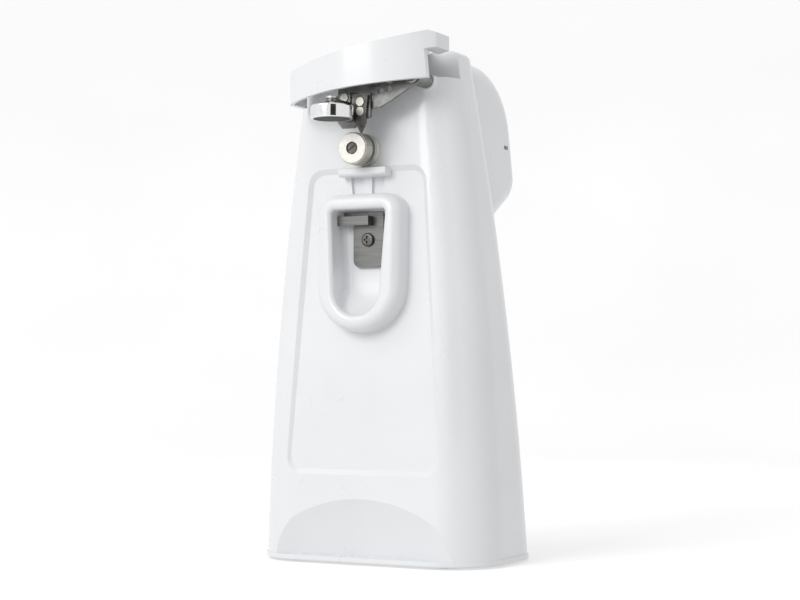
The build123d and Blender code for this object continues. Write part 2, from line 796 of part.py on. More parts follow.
compound_front_y = output_gear_y - output_gear_width - 0.6
with BuildPart() as compound_gear:
    with BuildSketch(facing_front(0, compound_gear_y, idler_z)):
        with BuildLine():
            Polyline(*gear_points(compound_teeth, first_module, 90), close=True)
        make_face()
    extrude(amount=compound_gear_width)
    with BuildSketch(facing_front(0, compound_gear_y - compound_gear_width, idler_z)):
        with BuildLine():
            Polyline(*gear_points(pinion_teeth, second_module, 90 + pinion_turn), close=True)
        make_face()
    extrude(amount=compound_gear_y - compound_gear_width - compound_front_y)
    with BuildSketch(facing_front(0, rear_plate_y - plate_thickness - collar_gap, idler_z)):
        Circle(collar_radius)
    extrude(amount=rear_plate_y - plate_thickness - front_plate_y - 2 * collar_gap)
    with BuildSketch(facing_front(0, rear_plate_y, idler_z)):
        Circle(idler_shaft_radius + running_gap)
    extrude(amount=far, mode=Mode.SUBTRACT)
save_piece(compound_gear, "compound_gear")

with BuildPart() as idler_shaft:
    with BuildSketch(facing_front(0, rear_plate_y + 0.6, idler_z)):
        Circle(idler_shaft_radius)
    extrude(amount=rear_plate_y - front_plate_y + plate_thickness + 1.2)
save_piece(idler_shaft, "idler_shaft")

with BuildPart() as gearbox_front_plate:
    with BuildSketch(facing_front(0, front_plate_y, 0)):
        with Locations((0, 172)):
            RectangleRounded(68, 60, 8)
        with Locations((0, drive_z)):
            Circle(drive_shaft_radius + 0.8, mode=Mode.SUBTRACT)
        with Locations((0, idler_z)):
            Circle(idler_shaft_radius, mode=Mode.SUBTRACT)
        with Locations(*gearbox_post_places):
            Circle(screw_radius + screw_fit, mode=Mode.SUBTRACT)
    extrude(amount=plate_thickness)
save_piece(gearbox_front_plate, "gearbox_front_plate")

with BuildPart() as gearbox_rear_plate:
    with BuildSketch(facing_front(0, rear_plate_y, 0)):
        with Locations((0, 174)):
            RectangleRounded(68, 64, 8)
        with Locations((0, drive_z)):
            Circle(drive_tail_radius + running_gap, mode=Mode.SUBTRACT)
        with Locations((0, idler_z)):
            Circle(idler_shaft_radius, mode=Mode.SUBTRACT)
        with Locations((0, motor_z)):
            Circle(4.6, mode=Mode.SUBTRACT)
        with Locations(*gearbox_post_places):
            Circle(screw_radius + screw_fit, mode=Mode.SUBTRACT)
        with Locations(*[(x, motor_z + dz) for x, dz in motor_screw_places]):
            Circle(screw_radius + screw_fit, mode=Mode.SUBTRACT)
    extrude(amount=plate_thickness)
save_piece(gearbox_rear_plate, "gearbox_rear_plate")

with BuildPart() as gearbox_spacers:
    for x, z in gearbox_post_places:
        with BuildSketch(facing_front(x, rear_plate_y - plate_thickness, z)):
            Circle(3)
            Circle(screw_radius + screw_fit, mode=Mode.SUBTRACT)
        extrude(amount=rear_plate_y - plate_thickness - front_plate_y)
save_piece(gearbox_spacers, "gearbox_spacers")

with BuildPart() as gearbox_screws:
    for x, z in gearbox_post_places:
        with BuildSketch(facing_front(x, rear_plate_y + screw_head_height, z)):
            Circle(screw_head_radius)
        extrude(amount=screw_head_height)
        with BuildSketch(facing_front(x, rear_plate_y, z)):
            Circle(screw_radius)
        extrude(amount=rear_plate_y - front_plate_y + 6)
save_piece(gearbox_screws, "gearbox_screws")

# ---------------------------------------------------------------- motor: fixed parts
stator_rear_y = stator_front_y + stator_length
front_bracket_y = stator_front_y - motor_bracket_gap
rear_bracket_y = stator_rear_y + motor_bracket_gap + motor_bracket_thickness

with BuildPart() as motor_stator:
    with BuildSketch(facing_front(0, stator_rear_y, motor_z)):
        Polygon(
            (coil_leg_x, -stator_half_height), (stator_right_x, -stator_half_height),
            (stator_right_x, stator_half_height), (coil_leg_x, stator_half_height), align=None,
        )
        fillet(vertices(), 2)
        Circle(stator_bore, mode=Mode.SUBTRACT)
        window_left_x = coil_leg_x + coil_leg_width
        with Locations(((window_left_x + window_right_x) / 2, 0)):
            Rectangle(window_right_x - window_left_x, 2 * window_half_height, mode=Mode.SUBTRACT)
        with Locations(*motor_screw_places):
            Circle(screw_radius + screw_fit, mode=Mode.SUBTRACT)
    extrude(amount=stator_length)
save_piece(motor_stator, "motor_stator")

leg_middle_x = coil_leg_x + coil_leg_width / 2


def leg_ring(z, inner_grow, outer_grow):
    """A level rectangular ring around the stator's coil leg."""
    with BuildSketch(Plane.XY.offset(z)) as ring:
        with Locations((leg_middle_x, (stator_front_y + stator_rear_y) / 2)):
            RectangleRounded(coil_leg_width + 2 * outer_grow, stator_length + 2 * outer_grow, outer_grow)
            Rectangle(coil_leg_width + 2 * inner_grow, stator_length + 2 * inner_grow, mode=Mode.SUBTRACT)
    return ring.sketch


with BuildPart() as coil_bobbin:
    half_length = window_half_height - coil_gap
    extrude(leg_ring(motor_z - half_length, coil_gap, coil_gap + bobbin_wall), amount=2 * half_length)
    for z in (motor_z - half_length, motor_z + half_length - bobbin_wall):
        extrude(leg_ring(z, coil_gap, coil_gap + bobbin_wall + coil_build), amount=bobbin_wall)
save_piece(coil_bobbin, "coil_bobbin")

with BuildPart() as motor_coil:
    low_z = motor_z - window_half_height + coil_gap + bobbin_wall
    winding = leg_ring(low_z, coil_gap + bobbin_wall, bobbin_wall + coil_build)
    extrude(winding, amount=2 * (motor_z - low_z))
save_piece(motor_coil, "motor_coil")

for name, plate_rear_y in (("motor_front_bracket", front_bracket_y), ("motor_rear_bracket", rear_bracket_y)):
    with BuildPart() as bracket:
        with BuildSketch(facing_front(0, plate_rear_y, motor_z)):
            with Locations(((motor_screw_x[0] + motor_screw_x[1]) / 2, 0)):
                RectangleRounded(
                    motor_screw_x[1] - motor_screw_x[0] + 9, 2 * motor_screw_dz + 9, 4
                )
            Circle(bearing_radius, mode=Mode.SUBTRACT)
            with Locations(*motor_screw_places):
                Circle(screw_radius + screw_fit, mode=Mode.SUBTRACT)
        extrude(amount=motor_bracket_thickness)
    save_piece(bracket, name)

with BuildPart() as motor_bearings:
    for bracket_rear_y in (front_bracket_y, rear_bracket_y):
        with BuildSketch(facing_front(0, bracket_rear_y, motor_z)):
            Circle(bearing_radius)
            Circle(motor_shaft_radius + running_gap, mode=Mode.SUBTRACT)
        extrude(amount=motor_bracket_thickness)
save_piece(motor_bearings, "motor_bearings")

with BuildPart() as motor_spacers:
    for spacer_rear_y, length in (
        (front_bracket_y - motor_bracket_thickness, front_bracket_y - motor_bracket_thickness - rear_plate_y),
        (stator_front_y, motor_bracket_gap),
        (stator_rear_y + motor_bracket_gap, motor_bracket_gap),
    ):
        for x, dz in motor_screw_places:
            with BuildSketch(facing_front(x, spacer_rear_y, motor_z + dz)):
                Circle(2.8)
                Circle(screw_radius + screw_fit, mode=Mode.SUBTRACT)
            extrude(amount=length)
save_piece(motor_spacers, "motor_spacers")

with BuildPart() as motor_screws:
    for x, dz in motor_screw_places:
        with BuildSketch(facing_front(x, rear_bracket_y + screw_head_height, motor_z + dz)):
            Circle(2.8)
        extrude(amount=screw_head_height)
        with BuildSketch(facing_front(x, rear_bracket_y, motor_z + dz)):
            Circle(screw_radius)
        extrude(amount=rear_bracket_y - rear_plate_y + plate_thickness + 0.4)
save_piece(motor_screws, "motor_screws")

# ---------------------------------------------------------------- motor: turning parts
motor_shaft_front_y = compound_gear_y - compound_gear_width - 0.4
motor_shaft_rear_y = stone_y + 2.0

with BuildPart() as motor_shaft:
    with BuildSketch(facing_front(0, motor_shaft_rear_y, motor_z)):
        Circle(motor_shaft_radius)
    extrude(amount=motor_shaft_rear_y - motor_shaft_front_y)
save_piece(motor_shaft, "motor_shaft")

with BuildPart() as motor_pinion:
    with BuildSketch(facing_front(0, compound_gear_y + 0.3, motor_z)):
        with BuildLine():
            Polyline(*gear_points(pinion_teeth, first_module, -90 + pinion_turn), close=True)
        make_face()
        Circle(motor_shaft_radius, mode=Mode.SUBTRACT)
    extrude(amount=compound_gear_width + 0.6)
save_piece(motor_pinion, "motor_pinion")

with BuildPart() as rotor_core:
    with BuildSketch(facing_front(0, stator_rear_y, motor_z)):
        Circle(stator_bore - air_gap)
        Circle(motor_shaft_radius, mode=Mode.SUBTRACT)
        with PolarLocations(stator_bore - air_gap - 1.8, 18):
            Circle(0.8, mode=Mode.SUBTRACT)
    extrude(amount=rotor_length)
save_piece(rotor_core, "rotor_core")

with BuildPart() as cooling_fan:
    with BuildSketch(facing_front(0, fan_y, motor_z)):
        Circle(fan_hub_radius)
        with PolarLocations((fan_hub_radius + fan_radius) / 2 - 0.5, fan_blades):
            Rectangle(fan_radius - fan_hub_radius + 1, 1.4, rotation=20)
        Circle(motor_shaft_radius, mode=Mode.SUBTRACT)
    extrude(amount=fan_width)
save_piece(cooling_fan, "cooling_fan")

with BuildPart() as sharpening_wheel:
    with BuildSketch(facing_front(0, stone_y, motor_z)):
        Circle(stone_radius)
        Circle(motor_shaft_radius, mode=Mode.SUBTRACT)
    extrude(amount=stone_width)
    chamfer(edges().filter_by(GeomType.CIRCLE).group_by(SortBy.RADIUS)[-1], 1.2)
save_piece(sharpening_wheel, "sharpening_wheel")

# ---------------------------------------------------------------- knife sharpener's guide in the back
with BuildPart() as sharpener_guide:
    add(pod_block(0))
    with BuildSketch(Plane.XY.offset(guide_low_z)):
        with Locations((0, guide_front_y + far / 2)):
            Rectangle(2 * guide_half, far)
    extrude(amount=far, mode=Mode.INTERSECT)
    with BuildSketch(Plane.XY.offset(guide_low_z)):
        with Locations(*[(side * slot_x, slot_front_y + far / 2) for side in (-1, 1)]):
            Rectangle(2 * slot_half, far)
    extrude(amount=far, mode=Mode.SUBTRACT)
save_piece(sharpener_guide, "sharpener_guide")

# ---------------------------------------------------------------- switch under the notch
switch_top_z = notch_floor_z - wall

with BuildPart() as switch_body:
    with BuildSketch(Plane.XY.offset(switch_top_z - switch_height)):
        with Locations((plunger_x, plunger_y)):
            Rectangle(switch_length, switch_width)
    extrude(amount=switch_height)
    with BuildSketch(Plane.XY.offset(switch_top_z)):
        with Locations((plunger_x, plunger_y)):
            Circle(plunger_radius + running_gap)
    extrude(amount=-10, mode=Mode.SUBTRACT)
save_piece(switch_body, "switch_body")

with BuildPart() as switch_terminals:
    for dx in (-5, 5):
        with BuildSketch(Plane.XY.offset(switch_top_z - switch_height - 6)):
            with Locations((plunger_x + dx, plunger_y)):
                Rectangle(3, 0.8)
        extrude(amount=6)
save_piece(switch_terminals, "switch_terminals")

# ---------------------------------------------------------------- lever: handle


def handle_plan(inset, rear_y_line):
    """Plan of the handle: straight back, bowed front."""
    left = handle_left_x + inset
    right = tab_right_x - inset
    Polyline(
        (left, handle_left_front_y), (left, rear_y_line), (right, rear_y_line),
        (right, handle_right_front_y + inset),
    )
    Spline(
        (left, handle_left_front_y),
        *[(x, y + inset) for x, y in handle_front_points],
        (right, handle_right_front_y + inset),
        tangents=((0, -1), (0.5, 1)),
        tangent_scalars=(0.6, 0.6),
    )


def top_height(x):
    """Height of the handle's top over x: two straight runs."""
    (x0, z0), (x1, z1), (x2, z2) = handle_top_line
    if x < x1:
        return z0 + (z1 - z0) * (x - x0) / (x1 - x0)
    return z1 + (z2 - z1) * (x - x1) / (x2 - x1)


with BuildPart() as lever_handle:
    with BuildSketch(facing_front(0, handle_rear_y, 0)):
        with BuildLine():
            Polyline(
                handle_top_line[2], (tab_right_x, tab_high_z), (tab_right_x, tab_low_z + 1),
                (handle_right_x - 1, tab_low_z), (handle_right_x, handle_low_right_z),
                (handle_left_x, handle_low_left_z), handle_top_line[0],
            )
            ThreePointArc(handle_top_line[0], handle_top_line[1], handle_top_line[2])
        make_face()
    extrude(amount=far)
    with BuildSketch(Plane.XY.offset(handle_low_left_z - 5)):
        with BuildLine():
            handle_plan(0, handle_rear_y)
        make_face()
    extrude(amount=far, mode=Mode.INTERSECT)
    # hollow it from below, and leave the back open
    with BuildSketch(facing_front(0, handle_rear_y + 1, 0)):
        with BuildLine():
            Polyline(
                (handle_right_x - handle_wall, top_height(handle_right_x) - handle_wall - 1),
                (handle_right_x - handle_wall, handle_low_left_z - 20),
                (handle_left_x + handle_wall, handle_low_left_z - 20),
                (handle_left_x + handle_wall, top_height(handle_left_x) - handle_wall),
            )
            ThreePointArc(
                (handle_left_x + handle_wall, top_height(handle_left_x) - handle_wall),
                (0, top_height(0) - handle_wall),
                (handle_right_x - handle_wall, top_height(handle_right_x) - handle_wall - 1),
            )
        make_face()
    hollow = extrude(amount=far, mode=Mode.PRIVATE)
    with BuildSketch(Plane.XY.offset(handle_low_left_z - 25)):
        with BuildLine():
            handle_plan(handle_wall, handle_rear_y + 1)
        make_face()
    plan = extrude(amount=2 * far, mode=Mode.PRIVATE)
    add(hollow & plan, mode=Mode.SUBTRACT)
    # the right end is open behind its skin
    with BuildSketch(Plane.XY.offset(handle_low_left_z - 5)):
        Polygon(*end_opening, align=None)
    extrude(amount=tab_low_z - handle_low_left_z + 5, mode=Mode.SUBTRACT)
    # a wing behind the hollow that lies in the notch and presses the switch
    with BuildSketch(facing_front(0, notch_back_y - 1.4, 0)):
        Polygon(
            (handle_left_x, top_height(handle_left_x) - wing_thickness),
            (wing_right_x, top_height(wing_right_x) - wing_thickness),
            (wing_right_x, top_height(wing_right_x)),
            (0, top_height(0)),
            (handle_left_x, top_height(handle_left_x)),
            align=None,
        )
    extrude(amount=notch_back_y - 1.4 - handle_rear_y)
    # a block inside that the steel arm is riveted to
    with BuildSketch(facing_front(0, block_rear_y, 0)):
        Polygon(
            (block_left_x, block_low_z), (block_right_x, block_low_z),
            (block_right_x, top_height(block_right_x) - 1), (block_left_x, top_height(block_left_x) - 1),
            align=None,
        )
        with Locations(*handle_rivet_places):
            Circle(rivet_radius, mode=Mode.SUBTRACT)
    extrude(amount=block_rear_y - arm_y)
save_piece(lever_handle, "lever_handle")

# ---------------------------------------------------------------- lever: steel arm and what it carries
arm_front_y = arm_y - arm_thickness
guide_front_y_plate = arm_front_y - guide_thickness
blade_front_y = guide_front_y_plate - blade_thickness

with BuildPart() as lever_arm:
    with BuildSketch(facing_front(0, arm_y, 0)):
        with BuildLine():
            Polyline(
                (pivot_x, pivot_z + arm_end_radius), (-8.0, 227.0), (-8.0, 208.0), (7.0, 208.0),
                (9.5, 211.0), (14.0, 211.4), (20.5, 214.4), (pivot_x, pivot_z - arm_end_radius),
            )
            ThreePointArc(
                (pivot_x, pivot_z - arm_end_radius), (pivot_x + arm_end_radius, pivot_z),
                (pivot_x, pivot_z + arm_end_radius),
            )
        make_face()
        with Locations((pivot_x, pivot_z)):
            Circle(pivot_pin_radius + running_gap, mode=Mode.SUBTRACT)
        with Locations((9.3, 216.2), (14.6, 218.8), (18.8, 219.4)):
            Circle(1.5, mode=Mode.SUBTRACT)
        with Locations(*handle_rivet_places, *blade_rivet_places, guide_rivet_place):
            Circle(rivet_radius, mode=Mode.SUBTRACT)
    extrude(amount=arm_thickness)
save_piece(lever_arm, "lever_arm")

with BuildPart() as can_guide:
    with BuildSketch(facing_front(0, arm_front_y, 0)):
        Polygon(
            (-7.5, 218.0), (-7.5, 205.5), (-5.0, 202.4), (1.5, 202.4), (3.0, 205.0), (10.0, 207.0),
            (10.0, 218.0), align=None,
        )
        with Locations(*blade_rivet_places, guide_rivet_place):
            Circle(rivet_radius, mode=Mode.SUBTRACT)
    extrude(amount=guide_thickness)
save_piece(can_guide, "can_guide")

with BuildPart() as cutter_blade:
    with BuildSketch(facing_front(0, guide_front_y_plate, 0)):
        Polygon(
            (2.0, 217.0), (2.0, 206.0), (5.7, 199.5), (8.0, 204.0), (9.4, 217.0), align=None,
        )
        with Locations(*blade_rivet_places):
            Circle(rivet_radius, mode=Mode.SUBTRACT)
    extrude(amount=blade_thickness)
save_piece(cutter_blade, "cutter_blade")

with BuildPart() as magnet_bracket:
    with BuildSketch(facing_front(0, guide_front_y_plate, 0)):
        with Locations((magnet_x, (bracket_z + 219.0) / 2)):
            Rectangle(bracket_width, 219.0 - bracket_z)
        with Locations(guide_rivet_place):
            Circle(rivet_radius, mode=Mode.SUBTRACT)
    extrude(amount=bracket_thickness)
    with BuildSketch(Plane.XY.offset(bracket_z)):
        with Locations((magnet_x, (guide_front_y_plate + magnet_y) / 2)):
            Rectangle(bracket_width, guide_front_y_plate - magnet_y)
        with Locations((magnet_x, magnet_y)):
            Circle(bracket_width / 2)
            Circle(post_radius + post_play, mode=Mode.SUBTRACT)
    extrude(amount=bracket_thickness)
save_piece(magnet_bracket, "magnet_bracket")


def rivet(x, z, rear_y, front_y_face):
    """A rivet along Y through a stack of plates, with a head on each face."""
    for start_y, length, radius in (
        (rear_y, rear_y - front_y_face, rivet_radius),
        (rear_y + rivet_head, rivet_head, rivet_radius + 0.9),
        (front_y_face, rivet_head, rivet_radius + 0.9),
    ):
        with BuildSketch(facing_front(x, start_y, z)) as disc:
            Circle(radius)
        extrude(disc.sketch, amount=length)


with BuildPart() as blade_rivets:
    for x, z in blade_rivet_places:
        rivet(x, z, arm_y, blade_front_y)
    rivet(*guide_rivet_place, arm_y, guide_front_y_plate - bracket_thickness)
save_piece(blade_rivets, "blade_rivets")

with BuildPart() as handle_rivets:
    for x, z in handle_rivet_places:
        rivet(x, z, block_rear_y, arm_front_y)
save_piece(handle_rivets, "handle_rivets")

# ---------------------------------------------------------------- lever: magnet that swings on its post
with BuildPart() as magnet_post:
    for low_z, high_z, radius in (
        (magnet_top_z, bracket_z - post_slack - 0.3, post_head_radius),
        (magnet_top_z, bracket_z + bracket_thickness + post_slack + post_head_height, post_radius),
        (bracket_z + bracket_thickness + post_slack,
         bracket_z + bracket_thickness + post_slack + post_head_height, post_head_radius),
    ):
        with BuildSketch(Plane.XY.offset(low_z)):
            with Locations((magnet_x, magnet_y)):
                Circle(radius)
        extrude(amount=high_z - low_z)
save_piece(magnet_post, "magnet_post")

with BuildPart() as magnet_cup:
    with BuildSketch(Plane.XY.offset(magnet_low_z)):
        with Locations((magnet_x, magnet_y)):
            Circle(magnet_radius)
    extrude(amount=magnet_top_z - magnet_low_z)
    fillet(edges().group_by(Axis.Z)[-1], 0.8)
    fillet(edges().group_by(Axis.Z)[0], 0.4)
    with BuildSketch(Plane.XY.offset(magnet_low_z)):
        with Locations((magnet_x, magnet_y)):
            Circle(magnet_radius - cup_wall)
    extrude(amount=magnet_top_z - magnet_low_z - cup_wall, mode=Mode.SUBTRACT)
save_piece(magnet_cup, "magnet_cup")

with BuildPart() as magnet_core:
    with BuildSketch(Plane.XY.offset(magnet_low_z + 0.3)):
        with Locations((magnet_x, magnet_y)):
            Circle(magnet_radius - cup_wall)
    extrude(amount=magnet_top_z - magnet_low_z - cup_wall - 0.3)
save_piece(magnet_core, "magnet_core")

# ---------------------------------------------------------------- lever: pin and bushing
with BuildPart() as pivot_pin:
    with BuildSketch(facing_front(pivot_x, pivot_boss_rear_y, pivot_z)):
        Circle(pivot_pin_radius)
    extrude(amount=pivot_boss_rear_y - arm_front_y + lift_clearance)
    with BuildSketch(facing_front(pivot_x, arm_front_y - lift_clearance, pivot_z)):
        Circle(pivot_pin_radius + pivot_head_step)
    extrude(amount=pivot_head_height)
    fillet(faces().sort_by(Axis.Y)[0].edges(), 0.7)
save_piece(pivot_pin, "pivot_pin")

with BuildPart() as pivot_bushing:
    with BuildSketch(facing_front(pivot_x, pivot_boss_front_y, pivot_z)):
        Circle(pivot_pin_radius + pivot_bushing_wall)
        Circle(pivot_pin_radius, mode=Mode.SUBTRACT)
    extrude(amount=pivot_boss_front_y - arm_y - lift_clearance)
save_piece(pivot_bushing, "pivot_bushing")

# ---------------------------------------------------------------- switch plunger, just clear of the wing
plunger_top_z = top_height(plunger_x) - wing_thickness - 0.4
with BuildPart() as switch_plunger:
    with BuildSketch(Plane.XY.offset(switch_top_z - 10 + plunger_travel + 0.3)):
        with Locations((plunger_x, plunger_y)):
            Circle(plunger_radius)
    extrude(amount=plunger_top_z - switch_top_z + 10 - plunger_travel - 0.3)
    fillet(edges().group_by(Axis.Z)[-1], 0.6)
save_piece(switch_plunger, "switch_plunger")
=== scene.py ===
# %% [markdown]
# # An electric can opener
#
# This lesson dresses a finished mechanical model of an upright electric can opener. The real one is two glossy
# white mouldings screwed together round a gearbox, with a lever across the top and bright metal parts under it.
# The mechanical model gives every piece its place, so nothing here is moved: pieces get smooth surfaces, finishes
# and light.
#
# The first cell loads the model and measures its box. The finished visual has to stay inside that box.

import json
from math import pi, radians

import bmesh
import bpy
from mathutils import Matrix, Vector


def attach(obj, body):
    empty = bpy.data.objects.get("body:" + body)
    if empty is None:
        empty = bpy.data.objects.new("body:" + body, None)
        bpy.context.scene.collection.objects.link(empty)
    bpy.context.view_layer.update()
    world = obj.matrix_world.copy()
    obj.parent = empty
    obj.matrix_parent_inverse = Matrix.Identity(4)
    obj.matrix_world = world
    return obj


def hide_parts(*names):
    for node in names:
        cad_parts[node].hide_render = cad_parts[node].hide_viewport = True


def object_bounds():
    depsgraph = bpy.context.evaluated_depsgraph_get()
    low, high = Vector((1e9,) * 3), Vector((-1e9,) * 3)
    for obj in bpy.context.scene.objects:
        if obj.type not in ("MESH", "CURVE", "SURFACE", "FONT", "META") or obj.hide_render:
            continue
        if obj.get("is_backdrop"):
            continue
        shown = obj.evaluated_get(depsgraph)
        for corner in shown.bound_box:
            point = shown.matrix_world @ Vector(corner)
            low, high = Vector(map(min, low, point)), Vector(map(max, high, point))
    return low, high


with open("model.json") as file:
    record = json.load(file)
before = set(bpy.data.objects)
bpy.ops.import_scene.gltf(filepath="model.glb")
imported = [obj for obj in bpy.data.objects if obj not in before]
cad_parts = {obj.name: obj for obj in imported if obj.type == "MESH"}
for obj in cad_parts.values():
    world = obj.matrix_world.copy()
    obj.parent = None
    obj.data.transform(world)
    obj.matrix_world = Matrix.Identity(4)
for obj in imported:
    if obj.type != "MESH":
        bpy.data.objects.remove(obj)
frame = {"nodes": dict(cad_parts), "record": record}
cad_low, cad_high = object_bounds()
nodes = frame["nodes"]
bodies = frame["record"]["behaviour"]["bodies"]
body_of_node = {node: body for body, members in bodies.items() for node in members}
slot_of_node = {row["node"]: row["material_slot"] for row in frame["record"]["subparts"]}
box_mm = [round(1000 * (high - low), 1) for low, high in zip(cad_low, cad_high)]
print(len(nodes), "nodes in", len(bodies), "bodies, box", box_mm, "mm")

# %% [markdown]
# ## Helpers for finishes
#
# A real surface is never one flat colour. Moulded plastic has a faint unevenness in its gloss, brushed steel has
# fine lines, and rubber has a grain. Each finish below starts from one small helper that makes a material with an
# object-space pattern, because object coordinates are in metres here: a pattern with a scale of 1000 has features
# of about a millimetre, whatever the piece's size. Numbers that are the same all over go straight on the shader.

# %% A material with one shader and a coordinate source
def new_finish(name, metallic=0.0, **shader_values):
    """An empty finish: its material, its node tree, its shader and its object coordinates."""
    material = bpy.data.materials.new(name)
    material.use_nodes = True
    tree = material.node_tree
    shader = tree.nodes["Principled BSDF"]
    shader.inputs["Metallic"].default_value = metallic
    for socket, value in shader_values.items():
        shader.inputs[socket.replace("_", " ")].default_value = value
    place = tree.nodes.new("ShaderNodeTexCoord")
    return material, tree, shader, place.outputs["Object"]


# %% Patterns: stretched coordinates, noise and cells
def stretched(tree, place, scale):
    """Object coordinates stretched by a Mapping node."""
    mapping = tree.nodes.new("ShaderNodeMapping")
    mapping.inputs["Scale"].default_value = scale
    tree.links.new(place, mapping.inputs["Vector"])
    return mapping.outputs["Vector"]


def noise(tree, place, scale, detail=2.0, roughness=0.5):
    """Soft cloudy pattern from 0 to 1."""
    texture = tree.nodes.new("ShaderNodeTexNoise")
    texture.inputs["Scale"].default_value = scale
    texture.inputs["Detail"].default_value = detail
    texture.inputs["Roughness"].default_value = roughness
    tree.links.new(place, texture.inputs["Vector"])
    return texture.outputs["Fac"]


def cells(tree, place, scale):
    """Pattern of small cells, for grains."""
    texture = tree.nodes.new("ShaderNodeTexVoronoi")
    texture.inputs["Scale"].default_value = scale
    tree.links.new(place, texture.inputs["Vector"])
    return texture.outputs["Distance"]


# %% What a pattern drives: colour, gloss and relief
def tint(tree, shader, pattern, dark, light, low=0.3, high=0.7):
    """The pattern moves the colour between two close shades."""
    ramp = tree.nodes.new("ShaderNodeValToRGB")
    ramp.color_ramp.elements[0].position = low
    ramp.color_ramp.elements[1].position = high
    ramp.color_ramp.elements[0].color = (*dark, 1)
    ramp.color_ramp.elements[1].color = (*light, 1)
    tree.links.new(pattern, ramp.inputs["Fac"])
    tree.links.new(ramp.outputs["Color"], shader.inputs["Base Color"])


def gloss(tree, shader, pattern, low, high):
    """The pattern moves the roughness between two values."""
    spread = tree.nodes.new("ShaderNodeMapRange")
    spread.inputs["From Min"].default_value = 0.3
    spread.inputs["From Max"].default_value = 0.7
    spread.inputs["To Min"].default_value = low
    spread.inputs["To Max"].default_value = high
    tree.links.new(pattern, spread.inputs["Value"])
    tree.links.new(spread.outputs["Result"], shader.inputs["Roughness"])


def relief(tree, shader, pattern, depth, strength=1.0):
    """The pattern raises the surface by depth, in metres."""
    bump = tree.nodes.new("ShaderNodeBump")
    bump.inputs["Strength"].default_value = strength
    bump.inputs["Distance"].default_value = depth
    tree.links.new(pattern, bump.inputs["Height"])
    tree.links.new(bump.outputs["Normal"], shader.inputs["Normal"])


# %% [markdown]
# ## The finishes
#
# White ABS comes off a polished mould, so it is glossy with a very faint orange peel. Its colour is a cool white
# that drifts by a percent or two. The grey plastic of the sharpener guide has a spark-eroded grain. Metals differ
# in their lines: the stamped arm is tumbled, the opener plate is brushed across, and the magnet cup is chromed.

# %% Plastics and rubber
white_shell, tree, shader, place = new_finish(
    "moulded_white_plastic", Coat_Weight=0.25, Coat_Roughness=0.08, IOR=1.5)
tint(tree, shader, noise(tree, place, 18, 3), (0.735, 0.75, 0.765), (0.775, 0.785, 0.80))
gloss(tree, shader, noise(tree, place, 60, 4, 0.5), 0.27, 0.31)
relief(tree, shader, noise(tree, place, 900, 2), 0.00001, 0.25)

grey_shell, tree, shader, place = new_finish("grained_grey_plastic")
tint(tree, shader, noise(tree, place, 300, 3), (0.16, 0.165, 0.17), (0.22, 0.225, 0.23))
gloss(tree, shader, noise(tree, place, 900), 0.45, 0.65)
relief(tree, shader, cells(tree, place, 2500), 0.00006, 0.5)

nylon, tree, shader, place = new_finish("off_white_nylon", Subsurface_Weight=0.05)
tint(tree, shader, noise(tree, place, 120, 4), (0.66, 0.64, 0.56), (0.76, 0.74, 0.67))
gloss(tree, shader, noise(tree, place, 500), 0.38, 0.55)
relief(tree, shader, noise(tree, place, 1500), 0.00003, 0.4)

rubber, tree, shader, place = new_finish("soft_black_rubber")
tint(tree, shader, noise(tree, place, 220, 5), (0.012, 0.012, 0.013), (0.035, 0.034, 0.033))
gloss(tree, shader, noise(tree, place, 700), 0.7, 0.9)
relief(tree, shader, cells(tree, place, 1800), 0.00008, 0.5)
print("plastics and rubber:", [m.name for m in (white_shell, grey_shell, nylon, rubber)])

# %% Metals that show
stamped_steel, tree, shader, place = new_finish("stamped_steel", metallic=1.0)
tint(tree, shader, noise(tree, place, 150, 5, 0.65), (0.13, 0.13, 0.128), (0.27, 0.27, 0.26))
gloss(tree, shader, noise(tree, stretched(tree, place, (60, 60, 900)), 1, 3), 0.24, 0.42)
relief(tree, shader, noise(tree, stretched(tree, place, (80, 80, 2400)), 1), 0.00001, 0.5)

brushed_steel, tree, shader, place = new_finish("brushed_steel", metallic=1.0)
brush_lines = noise(tree, stretched(tree, place, (40, 40, 3000)), 1, 4)
tint(tree, shader, brush_lines, (0.11, 0.11, 0.108), (0.20, 0.20, 0.195))
gloss(tree, shader, noise(tree, stretched(tree, place, (30, 30, 2200)), 1, 3), 0.28, 0.46)
relief(tree, shader, noise(tree, stretched(tree, place, (50, 50, 4000)), 1), 0.000015, 0.6)

blade_steel, tree, shader, place = new_finish("hardened_blade_steel", metallic=1.0)
tint(tree, shader, noise(tree, place, 260, 5, 0.7), (0.07, 0.066, 0.06), (0.16, 0.15, 0.14))
gloss(tree, shader, noise(tree, stretched(tree, place, (900, 60, 60)), 1, 3), 0.22, 0.40)
relief(tree, shader, noise(tree, stretched(tree, place, (2600, 90, 90)), 1), 0.00001, 0.5)

zinc_plate, tree, shader, place = new_finish("zinc_plate", metallic=1.0)
tint(tree, shader, cells(tree, place, 420), (0.50, 0.49, 0.45), (0.56, 0.55, 0.51), 0.1, 0.8)
gloss(tree, shader, noise(tree, place, 600, 4), 0.34, 0.44)
relief(tree, shader, noise(tree, place, 1600, 3), 0.00001, 0.5)

chrome, tree, shader, place = new_finish("polished_chrome", metallic=1.0)
tint(tree, shader, noise(tree, place, 90, 3), (0.74, 0.745, 0.75), (0.80, 0.80, 0.80))
gloss(tree, shader, noise(tree, place, 300, 5, 0.7), 0.05, 0.13)
relief(tree, shader, noise(tree, place, 500, 2), 0.000004, 0.3)
print("metals:", [m.name for m in (stamped_steel, brushed_steel, blade_steel, zinc_plate, chrome)])

